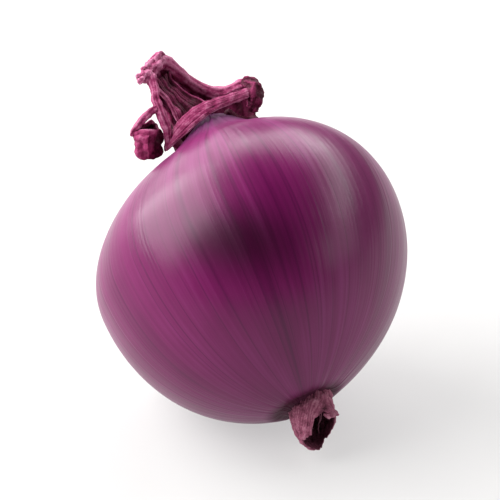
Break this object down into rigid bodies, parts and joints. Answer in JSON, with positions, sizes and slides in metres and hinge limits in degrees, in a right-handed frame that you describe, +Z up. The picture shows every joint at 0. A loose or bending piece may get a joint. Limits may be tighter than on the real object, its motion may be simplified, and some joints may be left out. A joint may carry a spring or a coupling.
{
  "type": "onion",
  "caption": "Whole red onion lying on its side on a small flat spot, with a torn dry neck sheath, a curled withered leaf and a dry root stub.",
  "frame": {"origin": "middle of the small flat spot that the onion rests on, on the surface it lies on", "axes": "+Z up; +Y the way the neck points, seen from above; +X to the right when looking along +Y"},
  "size_m": [0.077, 0.0801, 0.0769],
  "materials": {
    "onion_skin": "satin",
    "withered_leaf": "matte",
    "dry_root": "matte"
  },
  "bodies": {
    "root": {"bulb": "onion_skin", "withered_sheath": "withered_leaf", "curled_leaf": "withered_leaf", "root_stub": "dry_root", "root_fibre_1": "dry_root", "root_fibre_2": "dry_root", "root_fibre_3": "dry_root", "root_fibre_4": "dry_root"}
  },
  "joints": []
}
